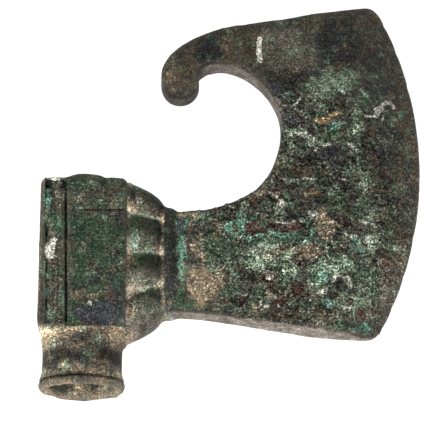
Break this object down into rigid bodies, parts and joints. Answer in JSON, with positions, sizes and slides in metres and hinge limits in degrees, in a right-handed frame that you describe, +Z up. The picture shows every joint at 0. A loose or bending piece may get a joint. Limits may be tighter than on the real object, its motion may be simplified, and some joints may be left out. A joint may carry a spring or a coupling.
{
  "type": "bronze age axe head",
  "caption": "Cast bronze shaft-hole axe head: a crescent blade with a scrolled upper arm, a lobed collar and a square socket with a beaded mouth.",
  "frame": {"origin": "on the table under the middle of the axe head, which lies on its back face", "axes": "+Z up, +Y along the haft's bore from its mouth to its top, +X from the bore towards the cutting edge"},
  "size_m": [0.1714, 0.1834, 0.0395],
  "materials": {
    "bronze": "corroded bronze with green and brown patina"
  },
  "bodies": {
    "root": {"axe_head": "bronze"}
  },
  "joints": []
}
